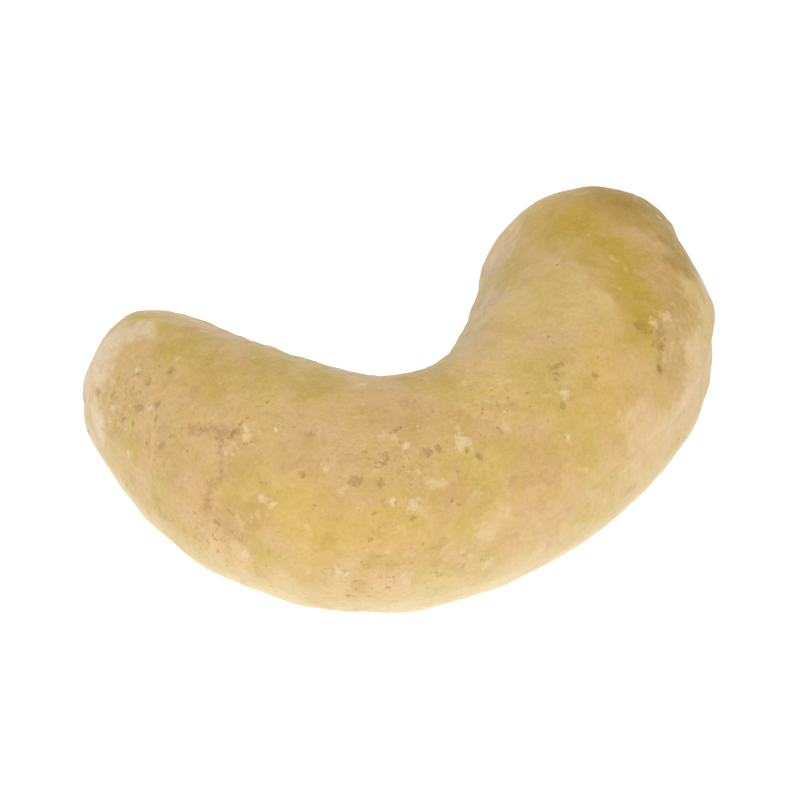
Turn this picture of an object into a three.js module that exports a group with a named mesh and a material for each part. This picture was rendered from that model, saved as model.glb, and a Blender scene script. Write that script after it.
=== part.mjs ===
// A roasted cashew kernel, whole, lying on its side: one kidney-shaped seed whose two halves
// stay pressed together, with a seam that runs round it where they meet.
// Millimetres, +Z up. +X runs along the kernel, +Y points out of the open side of its bend.
// The origin is on the surface that it lies on, under the middle of its outline.

import * as THREE from "three";
import { mergeVertices } from "three/addons/utils/BufferGeometryUtils.js";

// Sections across the kernel, evenly spaced from the tip of the slim lobe to the tip of the
// thick one. x and y place the section's middle and height is its middle above the table.
// width is half its size across the bend, and thick is half its size up and down. Where thick
// is the greater of thick and height, the kernel is flat on the table: under the slim lobe,
// under the bend and under the thick lobe.
const SECTIONS = [
  { x: -9.8, y: 8.9, width: 3.6, thick: 4.0, height: 4.3 },
  { x: -9.4, y: 5.4, width: 3.7, thick: 4.4, height: 4.3 },
  { x: -8.55, y: 1.9, width: 4.3, thick: 4.6, height: 4.6 },
  { x: -7.15, y: -1.2, width: 4.8, thick: 4.7, height: 4.8 },
  { x: -4.6, y: -3.5, width: 4.8, thick: 4.8, height: 4.7 },
  { x: -1.1, y: -4.25, width: 4.4, thick: 4.9, height: 4.7 },
  { x: 2.3, y: -3.35, width: 4.6, thick: 4.9, height: 4.8 },
  { x: 5.2, y: -1.5, width: 5.0, thick: 4.9, height: 4.9 },
  { x: 7.6, y: 1.2, width: 5.1, thick: 4.9, height: 4.8 },
  { x: 9.1, y: 4.5, width: 4.7, thick: 4.8, height: 4.6 },
  { x: 10.4, y: 8.1, width: 4.3, thick: 4.4, height: 4.5 },
];

// Low swells and dents: the middle of each, how far it spreads and how far it stands out.
const SWELLS = [
  { x: 13.3, y: 3.3, z: 5.8, spread: 1.8, rise: -0.6 },
  { x: 13.1, y: 0.6, z: 5.2, spread: 1.0, rise: 0.15 },
  { x: -7.5, y: 6.0, z: 8.0, spread: 2.2, rise: -0.4 },
  { x: -12.6, y: 8.6, z: 6.2, spread: 1.8, rise: -0.4 },
  { x: -12.5, y: 5.5, z: 2.5, spread: 2.6, rise: -0.25 },
];

// The seam: a groove at the middle of the kernel's thickness, deeper inside the bend.
const SEAM_WIDTH = 0.35;
const SEAM_DEPTH_OUTSIDE = 0.12;
const SEAM_DEPTH_INSIDE = 0.32;

// The mesh: rows along the kernel, and faces round it that crowd together at the seam. A lobe
// with a bluntness of 1 would be round, and less makes its end flatter.
const ROWS_ON_LOBE = 20;
const ROWS_BETWEEN = 42;
const FACES_ROUND = 56;
const CROWDING = 0.6;
const BLUNTNESS = 0.7;

const spine = new THREE.CatmullRomCurve3(
  SECTIONS.map(({ x, y, height }) => new THREE.Vector3(x, y, height)),
);

// A size of the sections at a share of the way along the kernel, curving smoothly between them.
function alongKernel(share, size) {
  const place = share * (SECTIONS.length - 1);
  const before = Math.min(Math.floor(place), SECTIONS.length - 2);
  const [a, b, c, d] = [-1, 0, 1, 2].map((step) => {
    const index = THREE.MathUtils.clamp(before + step, 0, SECTIONS.length - 1);
    return SECTIONS[index][size];
  });
  const t = place - before;
  return b + 0.5 * t * (c - a + t * (2 * a - 5 * b + 4 * c - d + t * (3 * (b - c) + d - a)));
}

// How far along the kernel a point of the blank goes: evenly between the lobes, and pushed
// towards the tip on a lobe, which makes it blunt.
function shareOf(height, straight) {
  const past = Math.max(Math.abs(height) - straight / 2, 0);
  const pushed = Math.sign(height) * (past ** BLUNTNESS - past);
  return THREE.MathUtils.clamp((height + pushed) / (straight + 2) + 0.5, 0, 1);
}

// The place on the kernel, and the seam's depth there, for a point of a straight round blank.
function bend(blankPoint, straight) {
  const share = shareOf(blankPoint.y, straight);
  const reach = Math.hypot(blankPoint.x, blankPoint.z);
  const turn = Math.atan2(blankPoint.z, blankPoint.x);
  const around = turn - (CROWDING / 2) * Math.sin(2 * turn);
  const out = reach * Math.cos(around);
  const up = reach * Math.sin(around) * alongKernel(share, "thick");
  const ahead = spine.getTangent(share);
  const outwards = new THREE.Vector3(ahead.y, -ahead.x, 0).normalize();
  const place = spine.getPoint(share);
  place.addScaledVector(outwards, out * alongKernel(share, "width"));
  place.z += up;
  const depth = THREE.MathUtils.lerp(SEAM_DEPTH_INSIDE, SEAM_DEPTH_OUTSIDE, (out + 1) / 2);
  return { place, groove: depth * Math.exp(-((up / SEAM_WIDTH) ** 2)) };
}

function riseAt(place) {
  return SWELLS.reduce((sum, { x, y, z, spread, rise }) => {
    const distance = place.distanceTo(new THREE.Vector3(x, y, z));
    return sum + rise * Math.exp(-((distance / spread) ** 2));
  }, 0);
}

function bentBlank() {
  const middleWidth = SECTIONS[(SECTIONS.length - 1) / 2].width;
  const straight = spine.getLength() / middleWidth - 2;
  const blank = new THREE.CapsuleGeometry(1, straight, ROWS_ON_LOBE, FACES_ROUND, ROWS_BETWEEN);
  const position = blank.getAttribute("position");
  const grooves = new Float32Array(position.count);
  for (let i = 0; i < position.count; i++) {
    const corner = new THREE.Vector3().fromBufferAttribute(position, i);
    const { place, groove } = bend(corner, straight);
    position.setXYZ(i, place.x, place.y, place.z);
    grooves[i] = groove;
  }
  blank.setAttribute("groove", new THREE.BufferAttribute(grooves, 1));
  blank.deleteAttribute("normal");
  blank.deleteAttribute("uv");
  return mergeVertices(blank, 1e-3);
}

// The bent blank with its seam pressed in, its swells raised and its underside flat where the
// table would cut it.
function kernelGeometry() {
  const geometry = bentBlank();
  geometry.computeVertexNormals();
  const position = geometry.getAttribute("position");
  const normal = geometry.getAttribute("normal");
  const groove = geometry.getAttribute("groove");
  for (let i = 0; i < position.count; i++) {
    const place = new THREE.Vector3().fromBufferAttribute(position, i);
    const outwards = new THREE.Vector3().fromBufferAttribute(normal, i);
    place.addScaledVector(outwards, riseAt(place) - groove.getX(i));
    position.setXYZ(i, place.x, place.y, Math.max(place.z, 0));
  }
  geometry.deleteAttribute("groove");
  geometry.computeBoundingBox();
  const middle = geometry.boundingBox.getCenter(new THREE.Vector3());
  geometry.translate(-middle.x, -middle.y, 0);
  geometry.computeVertexNormals();
  return geometry;
}

const roasted = new THREE.MeshStandardMaterial({ color: 0xd9bc84, roughness: 0.5, metalness: 0 });

const kernel = new THREE.Mesh(kernelGeometry(), roasted);
kernel.name = "cashew_kernel";

const cashew = new THREE.Group();
cashew.add(kernel);

export default cashew;
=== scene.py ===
# %% [markdown]
# # One roasted cashew kernel
#
# A cashew kernel is a seed that grew as one bent, kidney-shaped body. Two fleshy halves lie face
# to face in it, and a seam runs all the way round where they meet. Roasting leaves it dry and
# waxy: cream to tan, with olive and pinkish patches, small pits, scuffs and a few creases.
#
# The plain solid comes ready made, at its real size, and it carries the big shape. This lesson
# gives it its skin. We take a copy of the solid, make its mesh fine enough to hold marks of a few
# tenths of a millimetre, sculpt those marks in code, and mix a material from noise and from
# patches whose places are listed.

# %% Load the plain solid
import math
import random

import bmesh
import bpy
import numpy as np
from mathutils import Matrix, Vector, noise
from mathutils.kdtree import KDTree


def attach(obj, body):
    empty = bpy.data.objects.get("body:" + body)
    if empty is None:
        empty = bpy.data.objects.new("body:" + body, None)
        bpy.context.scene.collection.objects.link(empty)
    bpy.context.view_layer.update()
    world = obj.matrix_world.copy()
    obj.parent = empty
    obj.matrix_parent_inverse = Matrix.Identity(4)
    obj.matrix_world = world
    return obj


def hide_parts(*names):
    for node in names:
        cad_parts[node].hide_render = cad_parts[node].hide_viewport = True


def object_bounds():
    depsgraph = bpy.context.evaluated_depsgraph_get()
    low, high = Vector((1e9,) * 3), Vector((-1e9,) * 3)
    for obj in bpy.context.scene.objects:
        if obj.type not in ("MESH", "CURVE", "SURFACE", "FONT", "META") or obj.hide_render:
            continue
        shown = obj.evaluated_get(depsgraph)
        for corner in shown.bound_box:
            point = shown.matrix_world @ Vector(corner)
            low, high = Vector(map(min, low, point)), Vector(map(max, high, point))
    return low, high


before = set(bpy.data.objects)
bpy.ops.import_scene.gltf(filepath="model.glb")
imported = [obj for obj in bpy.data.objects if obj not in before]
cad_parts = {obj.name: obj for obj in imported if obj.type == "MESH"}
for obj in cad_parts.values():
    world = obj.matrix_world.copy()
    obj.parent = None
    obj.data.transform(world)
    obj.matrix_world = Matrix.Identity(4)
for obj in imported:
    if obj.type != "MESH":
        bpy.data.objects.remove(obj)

MM = 0.001
solid_low, solid_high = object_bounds()
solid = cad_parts["cashew_kernel"]
print("the solid spans", [round(side / MM, 2) for side in solid_high - solid_low], "mm")

# %% [markdown]
# ## The camera
#
# The kernel is seen from about 40 degrees above the table and a little from its slim lobe's side.
# The camera stands far back with a long lens, so the near lobe isn't swollen by perspective. It
# could also be orthographic, but a long lens keeps a hint of depth, as in a studio picture. The
# lens follows from the width of the strip of table that should fill the picture.

# %% Camera
AZIMUTH = math.radians(-24)
ELEVATION = math.radians(40)
CAMERA_DISTANCE = 400 * MM
PICTURE_WIDTH = 32.4 * MM
RIGHT_OF_AIM = 1.53 * MM
ABOVE_AIM = 0.20 * MM

towards_camera = Vector((
    math.sin(AZIMUTH) * math.cos(ELEVATION),
    -math.cos(AZIMUTH) * math.cos(ELEVATION),
    math.sin(ELEVATION),
))
camera_right = Vector((0, 0, 1)).cross(towards_camera).normalized()
camera_up = towards_camera.cross(camera_right)

camera = bpy.data.objects.new("camera", bpy.data.cameras.new("camera"))
camera.data.lens = camera.data.sensor_width * CAMERA_DISTANCE / PICTURE_WIDTH
camera.data.clip_start = CAMERA_DISTANCE / 100
aim = (solid_low + solid_high) / 2 - camera_right * RIGHT_OF_AIM + camera_up * ABOVE_AIM
camera.location = aim + towards_camera * CAMERA_DISTANCE
camera.rotation_mode = "QUATERNION"
camera.rotation_quaternion = (-towards_camera).to_track_quat("-Z", "Y")
bpy.context.scene.collection.objects.link(camera)
bpy.context.scene.camera = camera
print("the lens is", round(camera.data.lens), "mm")

# %% [markdown]
# ## A class for shader maths
#
# Materials are graphs of nodes. Written out node by node, a formula such as `1 - mask * 0.5` takes
# a dozen lines and is hard to read back. So one small class wraps a socket, and Python's own
# operators on it add Math nodes. Every other node comes from one method, which takes the node's
# type, its settings, and a value or a link for each socket.

# %% Shader maths
class Wire:
    """A node's output, on which arithmetic adds Math nodes."""

    def __init__(self, recipe, socket):
        self.recipe = recipe
        self.socket = socket

    def math(self, operation, first, second):
        return self.recipe.node("ShaderNodeMath", {"operation": operation}, {0: first, 1: second})

    def __add__(self, other):
        return self.math("ADD", self, other)

    def __sub__(self, other):
        return self.math("SUBTRACT", self, other)

    def __rsub__(self, other):
        return self.math("SUBTRACT", other, self)

    def __mul__(self, other):
        return self.math("MULTIPLY", self, other)

    def most(self, other):
        return self.math("MAXIMUM", self, other)

    __radd__ = __add__
    __rmul__ = __mul__


class Recipe:
    """A material being mixed."""

    def __init__(self, name):
        self.material = bpy.data.materials.new(name)
        self.material.use_nodes = True
        self.tree = self.material.node_tree
        self.tree.nodes.clear()

    def node(self, kind, settings=None, inputs=None, output=0):
        made = self.tree.nodes.new(kind)
        for name, value in (settings or {}).items():
            setattr(made, name, value)
        for name, value in (inputs or {}).items():
            if isinstance(value, Wire):
                self.tree.links.new(value.socket, made.inputs[name])
            else:
                made.inputs[name].default_value = value
        return Wire(self, made.outputs[output]) if made.outputs else None

    def vectors(self, operation, first, second, output=0):
        settings = {"operation": operation}
        return self.node("ShaderNodeVectorMath", settings, {0: first, 1: second}, output)

    def mix(self, first, second, share, blend="MIX"):
        settings = {"data_type": "RGBA", "blend_type": blend}
        return self.node("ShaderNodeMix", settings, {0: share, 6: first, 7: second}, 2)

    def between(self, value, low, high):
        """0 where value is at low or less, 1 at high or more, and a smooth step between."""
        settings = {"interpolation_type": "SMOOTHSTEP"}
        inputs = {"Value": value, "From Min": low, "From Max": high}
        return self.node("ShaderNodeMapRange", settings, inputs)

    def within(self, gap, reach, blur):
        """1 where gap is less than reach and 0 where it is more, with an edge this blurred."""
        return 1 - self.between(gap, reach - blur / 2, reach + blur / 2)

    def grain(self, place, size, detail=2.0, roughness=0.5, output=0):
        """Soft noise with blobs of about this size, in millimetres."""
        inputs = {"Vector": place, "Scale": 1 / size, "Detail": detail, "Roughness": roughness}
        return self.node("ShaderNodeTexNoise", {}, inputs, output)

    def attribute(self, name, output=2):
        return self.node("ShaderNodeAttribute", {"attribute_name": name}, {}, output)

    def finish(self, shader):
        self.node("ShaderNodeOutputMaterial", {}, {"Surface": shader})
        return self.material


def tone(red, green, blue):
    """A colour as a picture stores it, 0 to 255, turned into the linear light that shaders use."""
    def linear(value):
        share = value / 255
        return share / 12.92 if share <= 0.04045 else ((share + 0.055) / 1.055) ** 2.4
    return (linear(red), linear(green), linear(blue), 1)


print("white is", tone(255, 255, 255))

# %% [markdown]
# ## The table and the light
#
# The kernel lies on a white table that is lit so brightly that it shows no shadow, and its light
# comes back up into the kernel's lower half. A plain diffuse floor can never be brighter than the
# light that falls on it, so ours glows a little too. Above it, a dim white sky and one wide soft
# lamp stand in for a tent of white cloth. The colours are shown as they are, without a film-like
# curve, because the table has to come out white.

# %% Table and light
FLOOR_SIZE = 1.2
FLOOR_GREY = 0.25
FLOOR_GLOW = 0.98
SKY_LIGHT = 0.46
LAMP_POWER = 1.15
LAMP_SIZE = 0.11
LAMP_PLACE = Vector((-0.10, -0.21, 0.43))

bpy.context.scene.view_settings.view_transform = "Standard"

paper = Recipe("white_table")
glow = paper.node("ShaderNodeBsdfPrincipled", {}, {
    "Base Color": (FLOOR_GREY, FLOOR_GREY, FLOOR_GREY, 1),
    "Roughness": 0.9,
    "Emission Color": (1, 1, 1, 1),
    "Emission Strength": FLOOR_GLOW,
})
sheet = bmesh.new()
bmesh.ops.create_grid(sheet, x_segments=1, y_segments=1, size=FLOOR_SIZE / 2)
floor = bpy.data.objects.new("floor", bpy.data.meshes.new("floor"))
sheet.to_mesh(floor.data)
sheet.free()
floor.data.materials.append(paper.finish(glow))
bpy.context.scene.collection.objects.link(floor)

sky = bpy.data.worlds.new("soft_sky")
sky.use_nodes = True
sky.node_tree.nodes["Background"].inputs["Color"].default_value = (1, 1, 1, 1)
sky.node_tree.nodes["Background"].inputs["Strength"].default_value = SKY_LIGHT
bpy.context.scene.world = sky

lamp = bpy.data.objects.new("lamp", bpy.data.lights.new("lamp", "AREA"))
lamp.data.shape = "DISK"
lamp.data.size = LAMP_SIZE
lamp.data.energy = LAMP_POWER
lamp.location = LAMP_PLACE
lamp.rotation_euler = (-LAMP_PLACE).to_track_quat("-Z", "Y").to_euler()
bpy.context.scene.collection.objects.link(lamp)
print("the table is", FLOOR_SIZE, "m wide")

# %% [markdown]
# ## A mesh fine enough to sculpt
#
# The solid's mesh has faces of about half a millimetre and a plain, even groove for its seam. The
# marks on a real kernel are smaller, and its seam wanders and fades. A copy could be remeshed into
# little cubes, but its rows already run along the kernel and crowd together at the seam, where
# the finest detail goes, so they are worth keeping. We merge the copy's loose triangles, join them
# in pairs into quads, rub the even groove out, and subdivide twice.

# %% Copy, merge and join into quads
MERGE_DISTANCE = 0.002 * MM
JOIN_ANGLE = math.radians(60)

rough = bmesh.new()
rough.from_mesh(solid.data)
bmesh.ops.remove_doubles(rough, verts=rough.verts, dist=MERGE_DISTANCE)
bmesh.ops.join_triangles(
    rough,
    faces=rough.faces,
    angle_face_threshold=JOIN_ANGLE,
    angle_shape_threshold=JOIN_ANGLE,
)
quads = sum(len(face.verts) == 4 for face in rough.faces)
print(len(rough.verts), "corners,", quads, "quads and", len(rough.faces) - quads, "triangles")

# %% [markdown]
# The spine is the line along the middle of the kernel, from the slim lobe's tip to the thick
# one's. It is repeated here from the solid: x, y and the height of the seam there, and half the
# kernel's width, in millimetres. Once we know the nearest place on it, we can say of any point how
# far along the kernel it is, whether it is inside or outside the bend, and how far above the seam.

# %% The spine
SPINE = [
    (-10.05, 8.78, 4.3, 3.6),
    (-9.65, 5.28, 4.3, 3.7),
    (-8.80, 1.78, 4.6, 4.3),
    (-7.40, -1.32, 4.8, 4.8),
    (-4.85, -3.62, 4.7, 4.8),
    (-1.35, -4.37, 4.7, 4.4),
    (2.05, -3.47, 4.8, 4.6),
    (4.95, -1.62, 4.9, 5.0),
    (7.35, 1.08, 4.8, 5.1),
    (8.85, 4.38, 4.6, 4.7),
    (10.15, 7.98, 4.5, 4.3),
]
STEPS = 40


def smooth_line(points):
    """The points with a curve drawn through them, STEPS places for each."""
    padded = np.array([points[0], *points, points[-1]])
    line = []
    for a, b, c, d in zip(padded, padded[1:], padded[2:], padded[3:]):
        for t in np.arange(STEPS) / STEPS:
            bend = 2 * a - 5 * b + 4 * c - d + t * (3 * (b - c) + d - a)
            line.append(b + 0.5 * t * (c - a + t * bend))
    return np.array(line + [padded[-1]])


spine = smooth_line(SPINE)
run = np.gradient(spine[:, :2], axis=0)
run /= np.linalg.norm(run, axis=1)[:, None]
travelled = np.append(0, np.cumsum(np.linalg.norm(np.diff(spine[:, :2], axis=0), axis=1)))
spine_tree = KDTree(len(spine))
for index, (x, y, *_) in enumerate(spine):
    spine_tree.insert((x, y, 0), index)
spine_tree.balance()
print("the spine is", round(travelled[-1], 1), "mm long")


def where(places):
    """For each place in millimetres: how far along the spine it is, how far out of the bend as
    a share of the half width, and how far above the seam."""
    nearest = np.array([spine_tree.find((x, y, 0))[1] for x, y, _ in places])
    offset = places[:, :2] - spine[nearest, :2]
    outwards = np.stack([run[nearest, 1], -run[nearest, 0]], axis=1)
    past = np.einsum("ij,ij->i", offset, run[nearest])
    out = np.einsum("ij,ij->i", offset, outwards) / spine[nearest, 3]
    return travelled[nearest] + past, out, places[:, 2] - spine[nearest, 2]


# %% Rub out the even groove, and subdivide
GROOVE_REACH = 0.9
RUBS = 14
SUBDIVISIONS = 2

rough.verts.ensure_lookup_table()
above_seam = where(np.array([corner.co for corner in rough.verts]) / MM)[2]
near_groove = [rough.verts[index] for index in np.flatnonzero(np.abs(above_seam) < GROOVE_REACH)]
for _ in range(RUBS):
    bmesh.ops.smooth_vert(
        rough, verts=near_groove, factor=0.5,
        use_axis_x=True, use_axis_y=True, use_axis_z=True,
    )
rubbed = bpy.data.objects.new("rubbed", bpy.data.meshes.new("rubbed"))
rough.to_mesh(rubbed.data)
rough.free()
bpy.context.scene.collection.objects.link(rubbed)
finer = rubbed.modifiers.new("finer", "SUBSURF")
finer.levels = finer.render_levels = SUBDIVISIONS
evaluated = rubbed.evaluated_get(bpy.context.evaluated_depsgraph_get())
skin = bpy.data.meshes.new_from_object(evaluated)
skin.name = "roasted_kernel"
bpy.data.objects.remove(rubbed)
print(len(skin.vertices), "corners in the skin")

# %% [markdown]
# ## Sculpting in code
#
# Each mark is a field: a number of millimetres for every corner of the skin, by which the corner
# moves along its normal. The fields are worked out one by one, added up and used once. That keeps
# the marks apart, so each can be tuned without the others, where a stack of Displace modifiers
# would need a texture for each.

# %% Measure the skin
HALF_THICKNESS = 4.7


def read(collection, name):
    values = np.empty(len(collection) * 3)
    collection.foreach_get(name, values)
    return values.reshape(-1, 3)


def step(value, low, high):
    """0 where value is at low or less, 1 at high or more, and a smooth step between."""
    share = np.clip((value - low) / (high - low), 0, 1)
    return share * share * (3 - 2 * share)


def bell(distance, spread):
    return np.exp(-((distance / spread) ** 2))


def clouds(points, size, turn):
    """Soft noise from -1 to 1, with blobs of about this size. Each turn is another noise."""
    shift = Vector((turn, turn, turn))
    return np.array([noise.noise(Vector(point) / size + shift) for point in points])


def layers(points, sizes):
    """Layers of noise added up, each given as a height, a size of blob and a turn."""
    return sum(height * clouds(points, size, turn) for height, size, turn in sizes)


places = read(skin.vertices, "co") / MM
normals = read(skin.vertices, "normal")
along, out, above = where(places)
reach = np.hypot(out, above / HALF_THICKNESS) + 1e-6
round_about = np.stack([out / reach, above / HALF_THICKNESS / reach], axis=1)
inside = step(-out, 0.2, 0.9)
past_tip = np.maximum(-along, along - travelled[-1])
at_tip = step(past_tip, -0.5, 2.8)
print(round(float(np.mean(inside > 0.5)), 2), "of the skin is inside the bend")

# %% [markdown]
# ### Swells and ribs
#
# A kernel shrinks as it dries, so it isn't an even sausage. It has low swells of a few
# millimetres, and faint ribs that run the long way. The ribs are noise that is stretched along the
# kernel: the noise is read at a point made of the distance along the spine and the direction round
# it, so the pattern follows the bend.

# %% Swells and ribs
SWELLS = [(0.06, 5.0, 3.0), (0.06, 2.1, 8.0), (0.04, 1.0, 4.0)]
RIBS = [(0.05, 1.0, 5.0), (0.025, 0.4, 11.0), (0.012, 0.16, 12.0)]
RIB_LENGTH = 9.0
RIBS_ROUND = 1.9

swells = layers(places, SWELLS)
lengthwise = np.column_stack([along / RIB_LENGTH, round_about * RIBS_ROUND])
ribs = layers(lengthwise, RIBS)
print("the swells rise up to", round(float(swells.max()), 2), "mm")

# %% [markdown]
# ### The seam
#
# The two halves of the kernel meet at the seam. Along the outside of the bend it is all but grown
# over: a faint line with a low ridge beside it, which the material paints pale as a highlight.
# Inside the bend it is a real slot, and at the two tips the halves part a little and the upper one
# overhangs. A slot cut by a Boolean would have the same depth all the way, so here its depth, width
# and lips vary with where it is.

# %% The seam
LIFTED_AT = (5.0, -6.8)
LIFTED_SPREAD = 3.6
FLANK = (25.0, 32.0)

lifted = bell(np.linalg.norm(places[:, :2] - LIFTED_AT, axis=1), LIFTED_SPREAD)
wander = 0.9 * lifted + 0.16 * clouds(places, 3.2, 1.0) + 0.05 * clouds(places, 0.9, 2.0)
from_seam = above - wander
flank = step(along, *FLANK) * (1 - inside)
fading = step(clouds(places * (1, 1, 0), 2.6, 21.0), -0.45, 0.35)
seam_depth = 0.004 + 0.02 * lifted + 0.12 * flank * fading + 0.5 * inside + 0.5 * at_tip
seam_width = 0.09 + 0.02 * inside + 0.07 * at_tip
seam_lip = 0.004 + 0.03 * lifted + 0.03 * flank + 0.05 * inside + 0.05 * at_tip
overhang = 0.02 * flank + 0.05 * at_tip + 0.03 * inside
seam = (
    -seam_depth * bell(from_seam, seam_width)
    + seam_lip * bell(np.abs(from_seam) - 3.4 * seam_width, 2.4 * seam_width)
    + overhang * np.tanh(from_seam / seam_width) * bell(from_seam, 0.9)
)
print("the seam is up to", round(float(seam_depth.max()), 2), "mm deep")

# %% [markdown]
# ### Wrinkles
#
# The skin is drawn into fine wrinkles where the kernel bends most and near its tips. Inside the
# bend they run across the kernel, and at the tips they run round it, so both are noise that is
# squeezed along the spine.

# %% Wrinkles
WRINKLES = [(0.05, 1.0, 13.0), (0.025, 0.4, 15.0)]
WRINKLE_LENGTH = 0.75
WRINKLES_ROUND = 2.2

crosswise = np.column_stack([along / WRINKLE_LENGTH, round_about * WRINKLES_ROUND])
wrinkled = 0.75 * inside * step(np.abs(above), 0.3, 1.5) + 0.6 * step(past_tip, -2.5, 1.5)
wrinkles = wrinkled * layers(crosswise, WRINKLES)
print("wrinkles cover", round(float(np.mean(wrinkled > 0.3)), 2), "of the skin")

# %% [markdown]
# ### Creases, pits and scuffs
#
# Two creases cross the slim lobe in a T, and a third runs down the thick one. Pits are pinpricks
# of a few tenths of a millimetre with a brown bottom, and scuffs are as small, pale and raised,
# where the dry skin has lifted. The ones on the side that faces up are listed as x, y, z
# and radius in millimetres, and pulled to the nearest corner of the skin. The sides that are
# turned away get more of the same from a seeded random draw.
# The brown in the pits is partly their own colour and partly painted shade, and the pale on the
# scuffs is partly lifted skin and partly painted glints.

# %% Creases
skin_tree = KDTree(len(places))
for index, place in enumerate(places):
    skin_tree.insert(place, index)
skin_tree.balance()

CREASES = [
    [(-11.1, -0.8, 8.1), (-10.4, -1.6, 8.5), (-9.7, -2.4, 8.8)],
    [
        (-10.4, -2.1, 8.4), (-10.7, -2.7, 7.9), (-11.0, -3.1, 7.4),
        (-11.3, -3.1, 6.8), (-11.4, -3.2, 6.0),
    ],
    [(8.6, -2.6, 8.5), (8.1, -3.7, 8.1), (7.6, -4.6, 7.7)],
]
CREASE_DEPTH = 0.07
CREASE_WIDTH = 0.22


def on_skin(place):
    """The corner of the skin that is nearest to a place."""
    return np.array(skin_tree.find(place)[0])


def distance_to_line(points, line):
    nearest = np.full(len(points), np.inf)
    for start, end in zip(line, line[1:]):
        share = np.clip((points - start) @ (end - start) / np.sum((end - start) ** 2), 0, 1)
        gap = points - start - share[:, None] * (end - start)
        nearest = np.minimum(nearest, np.linalg.norm(gap, axis=1))
    return nearest


crease_gaps = [distance_to_line(places, [on_skin(end) for end in line]) for line in CREASES]
crease_gap = np.min(crease_gaps, axis=0)
uneven = 1 + 0.6 * clouds(places, 0.6, 17.0)
creases = -CREASE_DEPTH * bell(crease_gap, CREASE_WIDTH * uneven)
print("there are", len(CREASES), "creases")

# %% Pits and scuffs
PITS = [
    (7.6, -3.1, 8.8, 0.42), (8.3, -3.7, 8.0, 0.24), (7.8, -4.5, 7.6, 0.24), (4.6, -5.1, 8.9, 0.26),
    (3.0, -4.5, 9.5, 0.26), (2.8, -6.1, 8.7, 0.2), (-1.6, -7.3, 8.4, 0.24), (-3.4, -6.6, 8.8, 0.24),
    (-2.9, -6.7, 8.8, 0.22), (-5.1, -6.2, 8.7, 0.26), (-6.4, -6.4, 8.1, 0.36),
    (-5.6, -6.9, 8.0, 0.22), (-4.8, -8.1, 6.9, 0.22), (-7.5, -4.0, 9.1, 0.26),
    (-8.1, -5.2, 8.1, 0.2), (-10.8, 2.2, 8.6, 0.28), (-11.5, 2.6, 8.1, 0.26),
    (-11.6, 1.4, 7.8, 0.22), (-12.1, -0.1, 7.1, 0.26), (-12.2, 2.0, 7.3, 0.28),
    (-11.4, -3.8, 5.4, 0.24), (-12.9, 4.9, 6.2, 0.22),
]
SCUFFS = [
    (9.0, -2.4, 8.4, 0.32), (3.0, -5.8, 8.9, 0.28), (-1.9, -6.7, 8.8, 0.46),
    (-4.1, -6.1, 9.0, 0.24), (-4.7, -7.9, 7.3, 0.36), (-5.4, -7.5, 7.5, 0.22),
    (-9.4, -5.2, 7.0, 0.22), (-9.7, -4.8, 7.2, 0.22), (-10.5, -4.6, 4.3, 0.36),
    (-9.4, -2.5, 8.9, 0.2), (-9.6, -2.8, 8.7, 0.22), (-9.1, -2.9, 8.9, 0.16),
    (-8.6, -3.2, 9.0, 0.16), (-11.6, 3.5, 8.0, 0.26), (-12.0, 1.6, 7.6, 0.22),
    (-10.3, 2.6, 8.8, 0.22), (-10.5, 5.2, 8.4, 0.32), (-13.0, 4.4, 5.5, 0.3),
    (-12.7, 3.5, 6.5, 0.26), (-12.7, 1.4, 5.6, 0.26), (-4.4, -2.3, 9.3, 0.32),
    (-5.0, -8.5, 4.0, 0.4), (-1.7, -9.0, 4.0, 0.34), (-7.6, -7.4, 4.5, 0.4), (-8.6, 3.9, 8.7, 0.2),
    (2.5, -7.1, 7.9, 0.2),
]
RANDOM_PITS = 60
RANDOM_SCUFFS = 60
FARTHEST = 3

draw = random.Random(7)


def scattered(count, smallest, largest):
    """Random marks, most of them on the sides that the listed ones leave free."""
    marks = []
    while len(marks) < count:
        index = draw.randrange(len(places))
        size = draw.uniform(smallest, largest)
        if Vector(normals[index]).dot(towards_camera) < 0.2 or draw.random() < 0.12:
            marks.append((*places[index], size))
    return marks


def gap_to(marks):
    """The distance to the nearest mark, as a multiple of that mark's radius, FARTHEST at most."""
    nearest = np.full(len(places), float(FARTHEST))
    for x, y, z, size in marks:
        for _, index, gap in skin_tree.find_range(on_skin((x, y, z)), FARTHEST * size):
            nearest[index] = min(nearest[index], gap / size)
    return nearest


pit_gap = gap_to(PITS + scattered(RANDOM_PITS, 0.12, 0.26))
scuff_gap = gap_to(SCUFFS + scattered(RANDOM_SCUFFS, 0.14, 0.32))
print(len(PITS) + RANDOM_PITS, "pits and", len(SCUFFS) + RANDOM_SCUFFS, "scuffs")

# %% [markdown]
# Where the kernel has been rubbed, its skin is chafed in patches a few millimetres wide: full of
# tiny flakes and dents that are too many to place. Noise with blobs of less than half a millimetre
# makes them, raised where it is high and sunk where it is low.

# %% Chafed patches
CHAFED = [
    (-12.3, 2.6, 7.0, 2.4), (-4.4, -6.8, 8.4, 2.2), (8.5, -3.1, 8.2, 1.5), (-9.8, -2.4, 8.2, 1.6),
    (-11.0, -3.8, 5.0, 1.6), (3.0, -5.0, 9.2, 1.2), (-6.0, -7.6, 4.6, 1.8), (0.0, -5.6, 9.3, 1.3),
]
PIT_DEPTH = 0.07
DENT_DEPTH = 0.04
SCUFF_HEIGHT = 0.04
FLAKE_HEIGHT = 0.03

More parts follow.
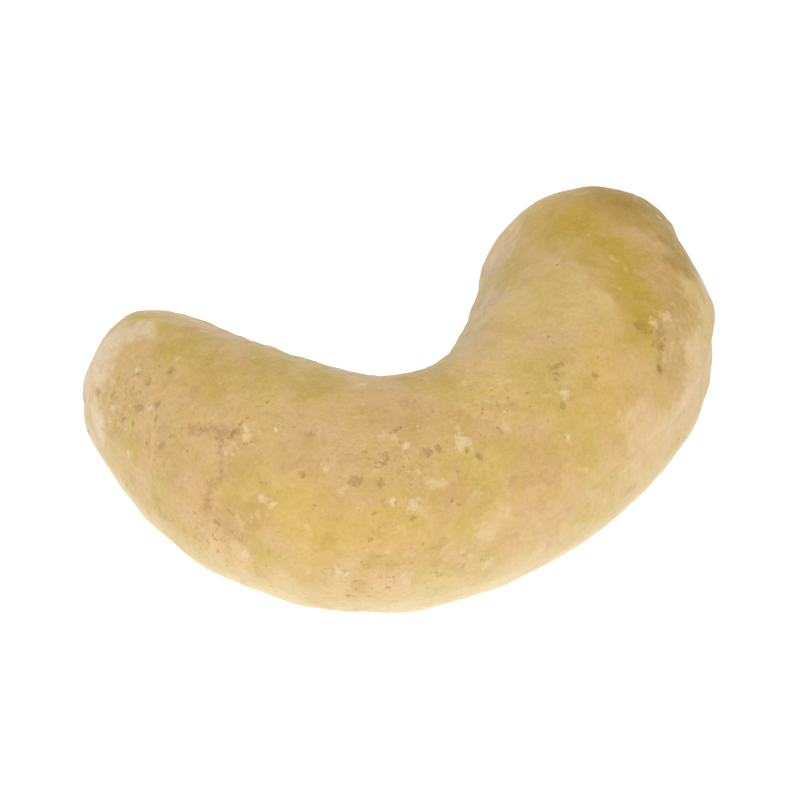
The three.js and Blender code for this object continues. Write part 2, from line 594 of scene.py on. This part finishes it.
chafed = step(clouds(places, 4.5, 37.0), 0.22, 0.5) * 0.7
for x, y, z, size in CHAFED:
    chafed = np.maximum(chafed, bell(np.linalg.norm(places - (x, y, z), axis=1), size))
flakes = layers(places, [(1.0, 0.42, 41.0), (0.5, 0.21, 43.0)])
ragged = 1 + 0.45 * clouds(places, 0.35, 29.0)
pits = -PIT_DEPTH * bell(pit_gap, ragged) - DENT_DEPTH * chafed * step(-flakes, 0.25, 0.5)
scuffs = SCUFF_HEIGHT * bell(scuff_gap, ragged) + FLAKE_HEIGHT * chafed * step(flakes, 0.25, 0.5)
print(round(float(np.mean(chafed > 0.3)), 2), "of the skin is chafed")

# %% [markdown]
# ### Moving the skin
#
# The fields are added up and fade out at the three flat spots, so that the kernel lies on them as
# the solid does. The swells could push the skin a tenth of a millimetre out of the solid's box, so
# the whole skin is stretched back to the box at the end. Where the marks are goes into attributes
# of the mesh, which the material reads. For the seam, the creases, the pits and the scuffs they
# hold each corner's distance to the nearest mark and not how dark it is there. A distance stays
# true between two corners, so the material can draw a sharper edge from it than the mesh is fine.

# %% Move the skin
footing = step(places[:, 2], 0.02, 0.7)
rise = (swells + ribs + seam + wrinkles + creases + pits + scuffs) * footing
moved = places + normals * rise[:, None]
moved[:, 2] = np.maximum(moved[:, 2], 0)
box_low = np.array(solid_low) / MM
box_high = np.array(solid_high) / MM
skin_low, skin_high = moved.min(axis=0), moved.max(axis=0)
moved = box_low + (moved - skin_low) * (box_high - box_low) / (skin_high - skin_low)
skin.vertices.foreach_set("co", (moved * MM).ravel())
print("the skin was stretched by", (box_high - box_low) / (skin_high - skin_low))

vectors = skin.attributes.new("lengthwise", "FLOAT_VECTOR", "POINT")
vectors.data.foreach_set("vector", lengthwise.ravel())
FIELDS = {
    "seam_gap": np.abs(from_seam),
    "seam_strength": np.clip(seam_depth / 0.3, 0, 1),
    # Where the seam's lip is painted pale, as a highlight on the ridge.
    "lip_highlight": np.clip(seam_lip / 0.06, 0, 1) * bell(np.abs(from_seam - 0.45), 0.5),
    "crease_gap": crease_gap,
    "pit_gap": pit_gap,
    "scuff_gap": scuff_gap,
    "chafed": chafed,
    # Where shade is painted, on the upper side of the bend's inside.
    "bend_shade": step(-out, 0.4, 0.8) * step(above, 0.5, 2.0),
}
for name, field in FIELDS.items():
    skin.attributes.new(name, "FLOAT", "POINT").data.foreach_set("value", field)
skin.polygons.foreach_set("use_smooth", np.ones(len(skin.polygons), bool))
skin.update()

kernel = bpy.data.objects.new("roasted_kernel", skin)
bpy.context.scene.collection.objects.link(kernel)
print(len(skin.polygons), "faces")

# %% [markdown]
# ## The roasted finish
#
# Under white light the kernel is a golden tan that drifts between olive and rosy over a few
# millimetres, and no lighter or darker for it. Its underside is painted paler, as painted light
# from the glowing table, and the upper side of the bend's inside a deeper olive, as painted shade.
# On that lie olive, pinkish and toasted patches, which grew or were roasted there. Pale patches
# along the lower rims, up the thick lobe's outer side and on its inner rim are painted light, and a
# whitish one at the slim lobe's tip is a painted reflection. Each patch is a centre and a radius
# on the kernel, in millimetres, and those of one colour are listed together, after how strongly
# they cover. The coordinates are pushed about by noise before the distance to the centre is taken,
# which makes a patch's outline ragged.
# A painted image would need unwrapping and couldn't be made in code. A colour is given as red,
# green and blue, up to 255.

# %% Colours and patches
OLIVE_TAN = tone(213, 185, 106)
ROSY_TAN = tone(221, 184, 130)
PAINTED_TABLE_GLOW = tone(239, 217, 168)
PAINTED_BEND_SHADE = tone(188, 158, 84)
PATCHES = [
    (tone(218, 184, 134), 0.6, [
        (-7.3, -3.6, 9.2, 2.2), (-11.1, -0.6, 8.0, 2.6), (-11.8, 3.4, 7.0, 2.2),
        (2.5, 0.4, 8.7, 1.5), (4.3, -3.4, 9.3, 1.8), (-3.4, -4.6, 9.4, 1.6),
    ]),
    (tone(201, 166, 98), 0.5, [
        (-4.2, -5.8, 8.9, 2.4), (-5.4, -7.0, 8.1, 2.2), (-1.8, -6.2, 9.1, 1.6),
        (-1.8, -2.4, 9.6, 1.6), (-6.8, -6.4, 8.1, 1.8), (-7.9, -4.8, 8.6, 1.4),
        (0.6, -7.5, 7.8, 1.4), (-12.2, -0.8, 6.8, 1.3), (-10.1, -3.4, 8.1, 1.2),
        (-10.7, -4.7, 6.0, 1.1), (-2.8, -8.0, 7.5, 1.2),
    ]),
    (tone(230, 198, 132), 0.6, [
        (0.4, -3.8, 9.7, 1.4), (1.4, -2.9, 9.6, 1.3), (0.0, -5.2, 9.5, 1.2),
    ]),
    (tone(230, 202, 130), 0.6, [
        (4.9, -1.4, 9.8, 1.8), (3.8, -0.5, 9.5, 1.5), (6.3, -1.8, 9.7, 1.2), (2.6, 0.2, 9.0, 1.2),
    ]),
    (tone(222, 187, 104), 0.5, [
        (5.2, -5.0, 8.8, 1.9), (4.5, -6.1, 8.2, 1.7), (6.1, -3.7, 9.2, 1.5),
        (-8.6, -5.8, 7.1, 2.0), (-8.3, -6.7, 6.0, 2.0), (-6.2, -7.9, 6.6, 2.0),
    ]),
    (tone(214, 184, 116), 0.5, [(6.0, 4.1, 8.8, 2.0), (7.0, 6.4, 8.4, 2.2), (4.6, -1.0, 9.7, 1.8)]),
    (tone(200, 163, 74), 0.75, [
        (9.4, 4.2, 9.2, 3.2), (11.0, 3.6, 8.7, 2.8), (10.0, 5.8, 8.5, 2.6), (11.3, 0.8, 8.2, 1.8),
        (8.8, 0.4, 9.4, 1.8), (8.6, -2.2, 8.9, 1.6), (10.0, -1.2, 8.1, 1.4),
    ]),
    (tone(196, 165, 44), 0.65, [
        (7.2, 3.0, 9.5, 1.9), (7.9, 1.0, 9.6, 1.5), (8.1, -1.0, 9.4, 1.4), (7.8, -2.9, 8.9, 1.3),
    ]),
    (tone(196, 162, 96), 0.5, [(9.9, -1.8, 8.2, 1.4), (8.8, -4.0, 7.4, 1.3)]),
    (tone(172, 136, 46), 0.7, [
        (10.7, 4.6, 8.8, 2.3), (11.6, 3.4, 8.2, 2.0), (11.4, 1.2, 8.1, 1.7),
    ]),
    (tone(200, 170, 76), 0.5, [
        (-9.6, 1.5, 9.1, 1.2), (-9.6, 0.4, 9.1, 1.3), (-6.1, -2.1, 9.5, 1.2),
        (-10.0, 3.6, 8.8, 1.4), (-8.6, 3.9, 8.7, 1.1), (-7.6, 0.6, 8.8, 1.4),
    ]),
    # Painted light: pale patches along the lower front rim and up the thick lobe's outer side, for
    # the glowing table's light and a soft reflection of the white surroundings.
    (tone(236, 205, 158), 0.6, [
        (7.1, -5.9, 5.1, 1.8), (5.6, -6.8, 5.0, 1.6), (8.8, -4.7, 5.2, 1.6), (9.5, -4.0, 6.3, 1.2),
        (10.2, -2.9, 6.9, 1.3), (-1.5, -8.6, 5.9, 1.0), (3.7, -7.6, 4.9, 1.0),
        (5.8, -6.5, 6.7, 1.0),
    ]),
    (tone(214, 180, 100), 0.6, [(7.8, -5.2, 6.9, 1.1)]),
    (tone(226, 192, 118), 0.6, [(11.3, -0.9, 7.2, 1.3)]),
    (tone(226, 192, 160), 0.6, [(4.7, 4.7, 7.5, 1.2), (3.0, 1.8, 7.8, 1.0)]),
    # Painted light: pale patches on the slim lobe's lower front rim, for the glowing table's light,
    # and on the thick lobe's inner rim.
    (tone(240, 208, 160), 0.5, [(-10.8, -4.0, 4.2, 1.3), (5.3, 5.6, 7.4, 1.2)]),
    # Painted reflection: a whitish patch at the slim lobe's tip, for the white surroundings
    # reflected there.
    (tone(241, 219, 186), 0.7, [
        (-11.0, 5.7, 8.2, 1.0), (-11.8, 6.2, 7.6, 1.5), (-12.4, 6.0, 6.6, 1.6),
        (-13.0, 4.6, 5.2, 1.0),
    ]),
]

PUSH = (4, 4, 4)
MM_PER_METRE = (1000, 1000, 1000)

finish = Recipe("roasted")
place = finish.node("ShaderNodeTexCoord", {}, {}, 3)
place = finish.vectors("MULTIPLY", place, MM_PER_METRE)
push = finish.grain(place, 1.6, detail=4.0, roughness=0.6, output=1)
push = finish.vectors("MULTIPLY", finish.vectors("SUBTRACT", push, (0.5, 0.5, 0.5)), PUSH)
pushed = finish.vectors("ADD", place, push)


def patch(x, y, z, radius):
    """1 at the middle of a patch, falling to 0 at its ragged edge."""
    gap = finish.vectors("DISTANCE", pushed, (x, y, z), 1)
    return 1 - finish.between(gap, 0.3 * radius, 1.2 * radius)


drift = 0.65 * finish.grain(place, 2.6, detail=2.0) + 0.35 * finish.grain(place, 0.9, detail=3.0)
drift = finish.between(drift, 0.36, 0.64)
colour = finish.mix(OLIVE_TAN, ROSY_TAN, drift)
height = finish.node("ShaderNodeSeparateXYZ", {}, {"Vector": pushed}, 2)
# Painted light: the underside is made paler, as the glowing table would light it.
colour = finish.mix(colour, PAINTED_TABLE_GLOW, finish.within(height, 3.4, 4.0) * 0.8)
# Painted shade: the upper side of the bend's inside is darkened to a deeper olive.
colour = finish.mix(colour, PAINTED_BEND_SHADE, finish.attribute("bend_shade") * 0.5)
for patch_colour, strength, spread_over in PATCHES:
    covered = patch(*spread_over[0])
    for blob in spread_over[1:]:
        covered = covered.most(patch(*blob))
    colour = finish.mix(colour, patch_colour, covered * strength)
print(sum(len(spread_over) for _, _, spread_over in PATCHES), "patches")

# %% [markdown]
# ### Fine mottling, the marks' colours, and painted light and shade on them
#
# Up close the colour is never even: it is mottled in blobs of half a millimetre and grained more
# finely still. The mottling darkens and lightens the colour by a few parts in a hundred. Then come
# soft pale and russet blotches, and the marks that were sculpted, whose distances are read from the
# mesh: brown in the seam and the creases; brown in the pits, partly their own colour and partly
# painted shade; pale on the scuffs, partly lifted skin and partly painted glints; and pale on the
# lips, a painted highlight. Noise is added to each distance before it is compared with the mark's
# reach, so that no mark comes out round or straight. The chafed patches lower the bar for the
# blotches and for a finer noise, which breaks out in crumbs and specks there. The pale of the
# crumbs is partly flakes and partly painted glints.

# %% Mottling and marks
BROWN = tone(150, 108, 62)
RUSSET = tone(178, 132, 86)
# The pale of lifted skin and flakes, also used for painted highlights and glints.
PALE_SKIN_AND_HIGHLIGHT = tone(240, 212, 168)

mottle = finish.between(finish.grain(place, 0.9, detail=4.0, roughness=0.65), 0.3, 0.7)
colour = finish.mix(colour, mottle, 0.08, "SOFT_LIGHT")
fine = finish.between(finish.grain(place, 0.2, detail=3.0, roughness=0.7), 0.35, 0.65)
colour = finish.mix(colour, fine, 0.09, "SOFT_LIGHT")

wobble = finish.grain(place, 0.26, detail=3.0, roughness=0.65) - 0.5
chafing = finish.attribute("chafed")
crumbs = finish.grain(place, 0.4, detail=4.0, roughness=0.65)
# Pale crumbs: partly flakes and partly painted glints.
crumb_and_glint = finish.between(crumbs + chafing * 0.1, 0.69, 0.76)
speck = finish.within(crumbs - chafing * 0.08, 0.29, 0.07)
blotches = finish.grain(place, 0.75, detail=3.0, roughness=0.55)
light_blotch = finish.between(blotches + chafing * 0.08, 0.63, 0.75)
dark_blotch = finish.within(blotches - chafing * 0.06, 0.37, 0.1)
freckle = finish.between(finish.grain(place, 0.15, detail=1.0), 0.74, 0.8)
# Pits: their brown is partly their own colour and partly painted shade.
pit_and_shade = finish.within(finish.attribute("pit_gap") + wobble * 2, 0.6, 0.9)
# Scuffs: their pale is partly lifted skin and partly painted glints.
scuff_and_glint = finish.within(finish.attribute("scuff_gap") + wobble * 3, 0.7, 0.9)
crease = finish.within(finish.attribute("crease_gap") + wobble * 1.1, 0.13, 0.4)
seam_line = finish.within(finish.attribute("seam_gap") + wobble * 0.12, 0.07, 0.09)
seam_line = seam_line * finish.attribute("seam_strength")
# The pale on the seam's lip is a painted highlight on the ridge.
lip_highlight = finish.attribute("lip_highlight")

for mark_colour, share in [
    (PALE_SKIN_AND_HIGHLIGHT, lip_highlight * 0.3),
    (PALE_SKIN_AND_HIGHLIGHT, light_blotch * 0.4),
    (RUSSET, dark_blotch * 0.18),
    (RUSSET, freckle * 0.2),
    (RUSSET, speck * 0.25),
    (PALE_SKIN_AND_HIGHLIGHT, crumb_and_glint * 0.5),
    (RUSSET, crease * 0.42),
    (BROWN, pit_and_shade * 0.35),
    (PALE_SKIN_AND_HIGHLIGHT, scuff_and_glint * 0.7),
    (BROWN, seam_line * 0.7),
]:
    colour = finish.mix(colour, mark_colour, share)

# %% [markdown]
# ### Wax, light inside the kernel, and the skin's grain
#
# The surface is satin where the oil has come out and duller where the skin is dry. Light goes
# about a millimetre into the flesh and comes out again warmer, most of all at the lower rim next
# to the bright table. The Principled shader's subsurface scattering does that. The finest
# relief, of a hundredth of a millimetre, is left to a bump node, as no mesh needs to hold it.

# %% The shader
RELIEF = 0.08 * MM
SCATTER = 0.9 * MM

roughness = 0.28 + 0.3 * finish.grain(place, 1.6, detail=3.0)
threads = finish.grain(finish.attribute("lengthwise", 1), 0.07, detail=3.0, roughness=0.6)
relief = 0.5 * finish.grain(place, 0.3, detail=4.0, roughness=0.6) + 0.5 * threads
relief = relief + 0.35 * scuff_and_glint.most(crumb_and_glint) - 0.45 * pit_and_shade.most(speck) - 0.3 * crease
bumps = finish.node("ShaderNodeBump", {}, {"Strength": 1, "Distance": RELIEF, "Height": relief})
waxy = finish.node("ShaderNodeBsdfPrincipled", {"subsurface_method": "RANDOM_WALK"}, {
    "Base Color": colour,
    "Roughness": roughness,
    "Normal": bumps,
    "IOR": 1.4,
    "Specular IOR Level": 0.35,
    "Subsurface Weight": 0.4,
    "Subsurface Radius": (1.0, 0.55, 0.25),
    "Subsurface Scale": SCATTER,
})
skin.materials.append(finish.finish(waxy))
print(len(finish.tree.nodes), "nodes")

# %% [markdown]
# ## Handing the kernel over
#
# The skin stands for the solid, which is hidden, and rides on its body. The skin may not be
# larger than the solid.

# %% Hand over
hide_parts("cashew_kernel")
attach(kernel, "root")
